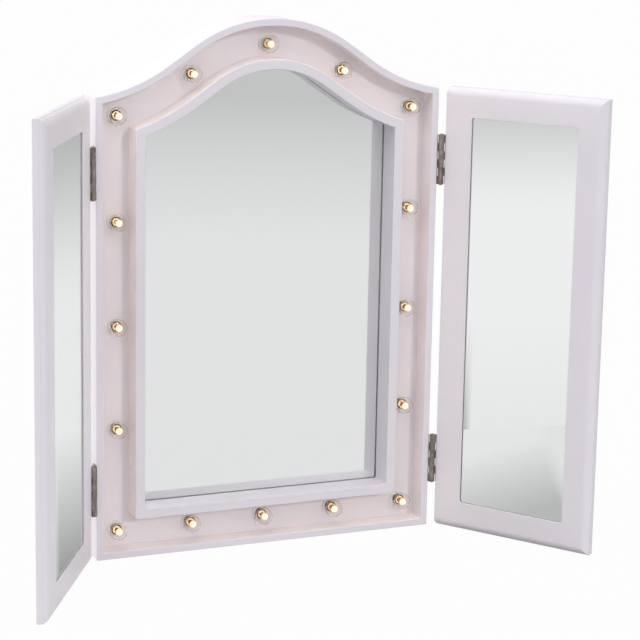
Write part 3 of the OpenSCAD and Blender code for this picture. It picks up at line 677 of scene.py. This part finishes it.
class BuildMirrors(Operator):
    """The three mirrors, each a glass plate silvered at the back."""

    bl_idname = "mirror.glass"
    bl_label = "Mirrors"

    def plate(self, outline, near, far):
        """Plate between two depths with tiny chamfers, as (points, normals, faces). The last face is its back."""
        cut = 0.2 * MM
        levels = [(cut, near, 0, -1), (0, near + cut, -1, 0), (0, far - cut, -1, 0), (cut, far, 0, 1)]
        rings, normals = [], []
        for inset, depth, across, along in levels:
            p, out = outline(inset)
            rings.append(upright(p, depth))
            normals.append(upright(-across * out, along))
        points, turned, faces = loft(rings, normals, ring_closed=False)
        count = len(rings[0])
        front = np.arange(count)
        a, b, c = points[[0, count // 3, 2 * count // 3]]
        if np.cross(b - a, c - a)[1] >= 0:
            front = front[::-1]
        back = front[::-1] + (len(levels) - 1) * count
        return points, turned, [*faces, front, back]

    def execute(self, context):
        s, c = context.scene.mirror_sizes, context.scene.mirror_colours
        materials = [float_glass(c), silvering(c)]

        def build(name, outline, near, thickness, body, node, rest=None):
            shape = self.plate(outline, near + 0.03 * MM, near + thickness - 0.05 * MM)
            piece = make_piece(name, [shape], body, materials, node, rest)
            piece.data.polygons[len(shape[2]) - 1].material_index = 1

        inset = s.surround_inset + s.surround_width - s.glass_lap
        near = s.channel_depth + s.board_thickness - s.casing_depth / 2
        build("centre_looking_glass", lambda cut: arch_path(s, inset + cut, 0.5 * MM), near, s.glass_thickness,
              "centre", "centre_mirror")
        border = s.bar - s.wing_glass_lap

        def wing_outline(cut):
            p, out, _ = wing_ring(s, border + cut, border + cut, MM)
            return p, out

        for side, body in SIDES:
            build(body + "_looking_glass", wing_outline, s.wing_glass_depth, s.wing_glass, body, body + "_mirror",
                  wing_rest(s, side))
        return {"FINISHED"}


def flank_middle(s):
    """Middle (x, z) of the arch's straight flank, on the casing's outside."""
    flank = s.flank_angle
    inner = s.crown_radius * math.sin(flank)
    outer = s.casing_width / 2 + s.sweep_radius * (math.sin(SHOULDER) - math.sin(flank))
    top = s.casing_height - s.crown_radius * (1 - math.cos(flank))
    return (inner + outer) / 2, top - (outer - inner) * math.tan(flank) / 2


def lamp_places(s):
    """Places (x, z) of the sixteen lamps: five on each side, three on the foot and three under the arch."""
    x, low, high = s.casing_width / 2 - s.lamp_inset, s.lamp_inset, s.side_height - s.lamp_drop
    flank = s.flank_angle
    mid_x, mid_z = flank_middle(s)
    flank_z = mid_z - s.flank_inset / math.cos(flank) - (s.flank_lamp - mid_x) * math.tan(flank)
    sides = [(side * x, z) for z in np.linspace(low, high, 5) for side in (-1, 1)]
    foot = [(i * x / 2, low) for i in (-1, 0, 1)]
    arch = [(-s.flank_lamp, flank_z), (0, s.casing_height - s.lamp_inset), (s.flank_lamp, flank_z)]
    return np.array(sides + foot + arch)


def turned_shape(profile, around):
    """Surface of revolution about the depth axis, as (points, normals, faces) and each point's share of the profile.

    The profile is (radius, depth, normal out, normal back) rows from one pole on the axis to the other end. Each row
    becomes a circle of points, and a row at radius 0 becomes one pole."""
    turn = circle(np.linspace(0, 2 * math.pi, around, endpoint=False))
    points, normals, rows, share, start = [], [], [], [], 0
    run = np.concatenate([[0], np.cumsum(np.linalg.norm(np.diff(profile[:, :2], axis=0), axis=1))])
    for (r, d, nr, nd), t in zip(profile, run / run[-1]):
        if r < 1e-9:
            points.append(np.array([[0, d, 0]]))
            normals.append(np.array([[0, math.copysign(1, nd), 0]]))
            rows.append(np.full(around, start))
        else:
            points.append(upright(r * turn, d))
            normals.append(upright(nr * turn, nd))
            rows.append(start + np.arange(around))
        share.append(np.full(len(points[-1]), t))
        start += len(points[-1])
    faces = []
    for one, two in zip(rows, rows[1:]):
        quad = np.stack([one, np.roll(one, -1), np.roll(two, -1), two], 1)
        if one[0] == one[1]:
            quad = quad[:, [0, 2, 3]]
        elif two[0] == two[1]:
            quad = quad[:, [0, 1, 2]]
        faces.append(quad)
    points, normals = np.concatenate(points), np.concatenate(normals)
    sample = faces[len(faces) // 2][0]
    p, q, r = points[sample[:3]]
    if np.cross(q - p, r - p) @ normals[sample[0]] < 0:
        faces = [f[:, ::-1] for f in faces]
    return (points, normals, [f for group in faces for f in group]), np.concatenate(share)


def arc_rows(radius, centre, begin, end, steps, inside=False):
    """Profile rows on a circle about a point of the axis. Angle 0 is the front pole."""
    a = np.linspace(begin, end, steps + 1)
    sign = -1 if inside else 1
    return np.stack([radius * np.sin(a), centre - radius * np.cos(a), sign * np.sin(a), -sign * np.cos(a)], 1)


class BuildLamps(Operator):
    """Sixteen clear globes with their glowing lamps and sockets."""

    bl_idname = "mirror.lamps"
    bl_label = "Lamps"

    def execute(self, context):
        s, c = context.scene.mirror_sizes, context.scene.mirror_colours
        seat = s.channel_depth + s.board_thickness + s.neck_tail
        r, neck = s.globe_radius, s.globe_neck
        centre = s.channel_depth - SOCKET_FLANGE - s.globe_lift - math.sqrt(r**2 - neck**2)
        thin, bore = r - s.globe_wall, neck - s.globe_wall
        join, join_in = math.pi - math.asin(neck / r), math.pi - math.asin(bore / thin)
        shoulder, shoulder_in = centre - r * math.cos(join), centre - thin * math.cos(join_in)
        # Between globe and neck, an angle and a length are left free for the shading to round.
        blend, lead, end = 0.06, 0.35 * MM, seat - 0.05 * MM
        globe = np.concatenate([
            arc_rows(r, centre, 0, join - blend, 26),
            [[neck, shoulder + lead, 1, 0], [neck, end, 1, 0], [bore, end, -1, 0], [bore, shoulder_in + lead, -1, 0]],
            arc_rows(thin, centre, join_in - blend, 0, 24, inside=True),
        ])
        emitter = centre - r + s.globe_wall + s.emitter_gap + s.emitter
        stem, round_off, dip = 2.4 * MM, 0.3 * MM, 0.4 * MM
        collar, ledge, foot = bore - 0.25 * MM, shoulder - dip, seat - 0.15 * MM
        resin = np.concatenate([
            arc_rows(s.emitter, emitter, 0, math.pi - math.asin(stem / s.emitter), 18),
            [[stem, ledge - dip, 0.9, -0.4], [stem + round_off, ledge, 0.2, -1], [collar - round_off, ledge, 0.2, -1],
             [collar, ledge + round_off, 1, -0.1], [collar, seat - dip, 1, 0.1], [collar - 0.25 * MM, foot, 0.2, 1],
             [0, foot, 0, 1]],
        ])
        places = lamp_places(s)
        glow = lamp_body(c, context.scene.mirror_light.lamps)
        for name, profile, around, node, slot, mat in (
            ("clear_globes", globe, 40, "lamp_globes", "clear_globe", clear_globe(c)),
            ("glowing_lamps", resin, 28, "lamp_emitters", "warm_emitter", glow),
        ):
            shape, share = turned_shape(profile, around)
            piece = make_piece(name, copies(shape, places, -s.casing_depth / 2), "centre", [mat], node)
            corner = np.zeros(len(piece.data.loops), int)
            piece.data.loops.foreach_get("vertex_index", corner)
            uv = np.zeros((len(corner), 2))
            uv[:, 0] = np.tile(share, len(places))[corner]
            piece.data.uv_layers.new(name="along").data.foreach_set("uv", uv.ravel())
        dress(moulded_plastic("socket_plastic", c.light_plastic, 0.34), "lamp_sockets")
        return {"FINISHED"}


def vertex_normals(points, faces):
    """Normals at the points: the mean of their faces' normals, weighted by area."""
    total = np.zeros_like(points)
    for f in faces:
        a, b, c = points[f[:, 0]], points[f[:, 1]], points[f[:, -1]]
        cross = np.cross(b - a, c - a)
        for i in range(f.shape[1]):
            np.add.at(total, f[:, i], cross)
    return total / np.linalg.norm(total, axis=1)[:, None]


def screw(radius, rim, height, cross, shank, reach, rows=14, around=48):
    """Screw with a domed head and a cross recess, as (points, normals, faces). Its head faces +Y from depth 0.

    The head is a grid over (distance, direction). Its height is the rim plus a parabola, less the cross, which is full
    within its arms and fades at their flanks and ends. The shank is a surface of revolution."""
    rho = np.linspace(0, 1, rows + 1)[1:, None] * radius
    turn = circle(np.linspace(0, 2 * math.pi, around, endpoint=False))
    x, z = rho * turn[:, 0], rho * turn[:, 1]
    arm, tip = radius * 0.14, radius * 0.62

    def recess(across, along):
        return np.clip(1.7 - np.abs(across) / arm, 0, 1) * np.clip((tip - np.abs(along)) / (0.3 * tip), 0, 1)

    level = rim + (height - rim) * (1 - (rho / radius) ** 2) - cross * np.maximum(recess(x, z), recess(z, x))
    lower = [upright(r * turn, y) for r, y in ((radius, 0.0), (shank, 0.0), (shank, -0.8 * reach))]
    head = np.stack([x, level, z], -1).reshape(-1, 3)
    points = np.concatenate([[[0, height - cross, 0]], head, *lower, [[0, -reach, 0]]])
    ids = 1 + np.arange((rows + len(lower)) * around).reshape(-1, around)
    quads = np.stack([ids[:-1], ids[1:], np.roll(ids[1:], -1, 1), np.roll(ids[:-1], -1, 1)], -1).reshape(-1, 4)
    top = np.stack([np.zeros(around, int), ids[0], np.roll(ids[0], -1)], 1)
    end = np.stack([np.full(around, len(points) - 1), np.roll(ids[-1], -1), ids[-1]], 1)
    faces = [quads, top, end]
    a, b, c = points[top[0]]
    if np.cross(b - a, c - a)[1] < 0:
        faces = [f[:, ::-1] for f in faces]
    return points, vertex_normals(points, faces), [f for group in faces for f in group]


class BuildScrews(Operator):
    """Cross-head screws of the rear panels."""

    bl_idname = "mirror.screws"
    bl_label = "Rear screws"

    def execute(self, context):
        s = context.scene.mirror_sizes
        zinc = bpy.data.materials["zinc_plate"]
        drawn = s.wall + 5 * MM
        side = s.casing_width / 2 - drawn
        rows = np.linspace(s.wall + 20 * MM, s.side_height - 30 * MM, 4)
        x, z = flank_middle(s)
        x, z = x - drawn * math.sin(s.flank_angle), z - drawn * math.cos(s.flank_angle)
        spots = [(i * side, row) for i in (-1, 1) for row in rows] + [(-x, z), (x, z), (0, drawn)]
        one = screw(3 * MM, 0.5 * MM, 1.6 * MM, 0.9 * MM, 1.2 * MM, 10 * MM)
        make_piece("panel_screws", copies(one, spots, s.casing_depth / 2), "centre", [zinc],
                   "back_panel_screws")
        drawn, w = s.bar - s.wing_glass_lap - s.wing_back_lap / 2, wing_width(s)
        rows = np.linspace(42 * MM, s.wing_height - 42 * MM, 4)
        spots = [(a, row) for a in (drawn, w - drawn) for row in rows]
        spots += [(w / 2, drawn), (w / 2, s.wing_height - drawn)]
        one = screw(2 * MM, 0.25 * MM, 0.8 * MM, 0.5 * MM, 0.9 * MM, 6 * MM)
        parts = copies(one, spots, s.wing_thickness)
        for side, body in SIDES:
            make_piece(body + "_panel_screws", parts, body, [zinc], body + "_screws",
                       wing_rest(s, side))
        return {"FINISHED"}


class BuildHardware(Operator):
    """Hinges, clips, screws and the battery box, switch and lead."""

    bl_idname = "mirror.hardware"
    bl_label = "Hardware and power"

    def execute(self, context):
        c = context.scene.mirror_colours
        # The hinges' vertical streaks are partly a painted reflection of the knuckles' light and dark stripes.
        nickel = metal_with_wear_and_painted_streaks("worn_nickel", c.hinge, 0.2, 0.36, (1.0, 1.0, 0.08))
        zinc = metal_with_wear_and_painted_streaks("zinc_plate", c.zinc, 0.25, 0.42, (1.0, 0.2, 1.0))
        dress(nickel, "centre_hinge_leaves", "left_hinge_leaves", "right_hinge_leaves", "left_hinge_pins",
              "right_hinge_pins", "centre_hinge_screws", "left_hinge_screws", "right_hinge_screws")
        dress(zinc, "mirror_clips", "battery_contacts")
        dress(moulded_plastic("box_plastic", c.light_plastic, 0.38), "battery_box", "battery_cover")
        dress(moulded_plastic("switch_plastic", c.dark_plastic, 0.30), "switch_body", "switch_rocker")
        dress(moulded_plastic("lead_insulation", c.lead, 0.45, 400.0), "wiring_loom")
        dress(battery_skin(c), "batteries")
        return {"FINISHED"}


class BuildBoards(Operator):
    """Battens, backing boards and rear panels."""

    bl_idname = "mirror.boards"
    bl_label = "Boards behind"

    def execute(self, context):
        c = context.scene.mirror_colours
        dress(bare_wood(c), "frame_battens")
        dress(pressed_board("backing_fibreboard", c.board, 0.6), "centre_mirror_backing", "left_wing_backing",
              "right_wing_backing")
        dress(pressed_board("rear_hardboard", c.rear, 0.42), "back_panel", "left_wing_back_panel",
              "right_wing_back_panel")
        return {"FINISHED"}


def heading(turn, dip):
    """Direction that is turned to the right from straight back, and dips below the level."""
    return Vector((math.sin(turn) * math.cos(dip), math.cos(turn) * math.cos(dip), -math.sin(dip)))


class BuildStudio(Operator):
    """Camera, pale floor and soft studio light."""

    bl_idname = "mirror.studio"
    bl_label = "Studio"

    def camera(self, scene):
        """Camera at the photograph's place and angle. Its focal length and shifts are in pixels of the picture."""
        yaw, pitch, roll = (math.radians(v) for v in (23.05, 12.21, 1.07))
        stand, sensor = (-0.8031, -2.0381, 0.7061), 36
        pixels, focal, shift = 640, 2211, (0.15, -2.37)
        ahead = heading(yaw, pitch)
        right = Vector((math.cos(yaw), -math.sin(yaw), 0))
        up = right.cross(ahead)
        across = right * math.cos(roll) + up * math.sin(roll)
        upward = up * math.cos(roll) - right * math.sin(roll)
        data = bpy.data.cameras.new("camera")
        data.sensor_width = sensor
        data.lens = sensor * focal / pixels
        data.shift_x, data.shift_y = (v / pixels for v in shift)
        cam = bpy.data.objects.new("camera", data)
        turn = Matrix((across, upward, -ahead)).transposed().to_4x4()
        cam.matrix_world = Matrix.Translation(stand) @ turn
        scene.collection.objects.link(cam)
        scene.camera = cam

    def background(self, scene, fill):
        """World that lights softly, brighter from above and the left, and shows plain white."""
        world = bpy.data.worlds.new("studio")
        world.use_nodes = True
        scene.world = world
        tree = world.node_tree
        node, light = node_maker(tree), tree.nodes["Background"]
        brightest = Vector((-0.2, -0.1, 0.97)).normalized()
        toward = node("VectorMath", {0: node("TexCoord").outputs["Generated"], 1: brightest}, operation="DOT_PRODUCT")
        link(light, "Strength", ramp(node, toward.outputs["Value"], -0.1, 1.0, 0.50 * fill, fill))
        flat(light, Color=(0.97, 0.97, 1.0, 1))
        white = node("Background", {"Color": (1, 1, 1, 1)})
        end_in_mix(tree, node, seen_ray(node, node("LightPath")), light.outputs["Background"],
                   white.outputs["Background"], "World Output")

    def sheet(self, scene, name, corners, mat):
        """Flat object of the stage with four corners."""
        mesh = bpy.data.meshes.new(name)
        mesh.from_pydata(corners, [], [(0, 1, 2, 3)])
        mesh.materials.append(mat)
        sheet = bpy.data.objects.new(name, mesh)
        scene.collection.objects.link(sheet)
        return sheet

    def floor(self, scene):
        """Pale floor: mostly plain white to the eye, with a soft share of real light that keeps the shadow.

        In reflections it shows painted shade: it grows dimmer with distance, and under the part it grows dimmer to the
        right, a painted shadow."""
        mat, node, base = shader("pale_floor")
        flat(base, Base_Color=(0.22, 0.22, 0.23, 1), Roughness=0.7)
        at = place(node)
        away = node("VectorMath", {0: at}, operation="LENGTH").outputs["Value"]
        split = node("SeparateXYZ", {"Vector": at}).outputs
        right = node("Math", {0: split["X"], 1: split["Y"]}, operation="SUBTRACT").outputs["Value"]
        path = node("LightPath")
        seen = path.outputs["Is Camera Ray"]
        # Painted shade in the floor's emission for reflections and shed light: dimmer far away, and a painted shadow
        # under the part that darkens to the right.
        painted_floor_shade = mix_values(node, ramp(node, split["Y"], -0.185, -0.165), ramp(node, away, 1.7, 3.9, 0.88, 0.62),
                         ramp(node, right, 0.0, 0.27, 0.92, 0.54))
        white = node("Emission", {"Color": (1, 1, 1, 1), "Strength": mix_values(node, seen, painted_floor_shade, 1.0)})
        plain = mix_values(node, path.outputs["Is Diffuse Ray"], 0.9, 0.32)
        share = mix_values(node, seen, plain, 0.98)
        end_in_mix(mat.node_tree, node, share, base.outputs["BSDF"], white.outputs["Emission"])
        r, z = 40.0, CAD_BOX[0].z - 0.3 * MM
        floor = self.sheet(scene, "floor", [(-r, -r, z), (r, -r, z), (r, r, z), (-r, r, z)], mat)

    def sun(self, scene, name, power, spread, side, height):
        """Far light. Its spread, and its angles to the right of the front and above the floor, are in degrees."""
        data = bpy.data.lights.new(name, "SUN")
        data.energy = power
        data.angle = math.radians(spread)
        data.color = (1.0, 0.985, 0.97)
        lamp = bpy.data.objects.new(name, data)
        lamp.visible_glossy = False
        toward = heading(-math.radians(side), math.radians(height))
        lamp.rotation_euler = toward.to_track_quat("-Z", "Y").to_euler()
        scene.collection.objects.link(lamp)

    def card(self, scene):
        """Tall card beside the left wing, seen only in reflections: bright in its middle, falling off up and down,
        with painted shade at its foot near the hinge.
        """
        mat, node, _ = shader("reflection_card")
        split = node("SeparateXYZ", {"Vector": place(node)}).outputs
        top = ramp(node, split["Z"], 0.26, 0.47, 0.92, 0.50, interpolation_type="SMOOTHSTEP")
        # Painted shade: the card's foot dims, most of all at its end nearest the hinge.
        foot = ramp(node, split["Z"], 0.0, 0.14, ramp(node, split["Y"], -0.088, -0.076, 0.86, 0.36), 0.92)
        level = node("Math", {0: top, 1: foot}, operation="MINIMUM").outputs["Value"]
        light = node("Emission", {"Color": (1, 1, 1, 1), "Strength": level})
        mat.node_tree.links.new(light.outputs["Emission"], mat.node_tree.nodes["Material Output"].inputs["Surface"])
        start, height = np.array([-0.1855, -0.027]), 0.62
        end = start + 0.5 * np.array([-0.21, -0.978])
        corners = [(*start, 0.0), (*end, 0.0), (*end, height), (*start, height)]
        card = self.sheet(scene, "reflection_card", corners, mat)
        card.visible_camera = card.visible_diffuse = card.visible_shadow = False

    def execute(self, context):
        scene, light = context.scene, context.scene.mirror_light
        self.camera(scene)
        self.background(scene, light.fill)
        self.floor(scene)
        self.card(scene)
        for name, spread, side, height in (("key", 7, 16, 21), ("side", 40, -57, 55), ("behind", 30, -128, 10)):
            self.sun(scene, name, getattr(light, name), spread, side, height)
        scene.view_settings.view_transform = "Standard"
        return {"FINISHED"}


class MirrorPanel(Panel):
    """Buttons for each group of pieces, with the sizes and colours."""

    bl_idname = "VIEW3D_PT_lighted_mirror"
    bl_label = "Lighted mirror"
    bl_space_type = "VIEW_3D"
    bl_region_type = "UI"
    bl_category = "Mirror"

    def draw(self, context):
        for op in STEPS:
            self.layout.operator(op.bl_idname)
        for group in (context.scene.mirror_sizes, context.scene.mirror_colours, context.scene.mirror_light):
            box = self.layout.box()
            for name in group.__annotations__:
                box.prop(group, name)


GROUPS = {"mirror_sizes": MirrorSizes, "mirror_colours": MirrorColours, "mirror_light": StudioLight}
STEPS = (BuildCasing, BuildWings, BuildMirrors, BuildLamps, BuildHardware, BuildScrews, BuildBoards, BuildStudio)
CLASSES = (*GROUPS.values(), *STEPS, MirrorPanel)


def register():
    """Adds the classes and the scene's settings."""
    for cls in CLASSES:
        bpy.utils.register_class(cls)
    for name, cls in GROUPS.items():
        setattr(bpy.types.Scene, name, PointerProperty(type=cls))


def unregister():
    """Takes the classes and the scene's settings away again."""
    for name in GROUPS:
        delattr(bpy.types.Scene, name)
    for cls in reversed(CLASSES):
        bpy.utils.unregister_class(cls)


def main():
    register()
    for op in STEPS:
        group, name = op.bl_idname.split(".")
        getattr(getattr(bpy.ops, group), name)()


if __name__ == "__main__":
    main()
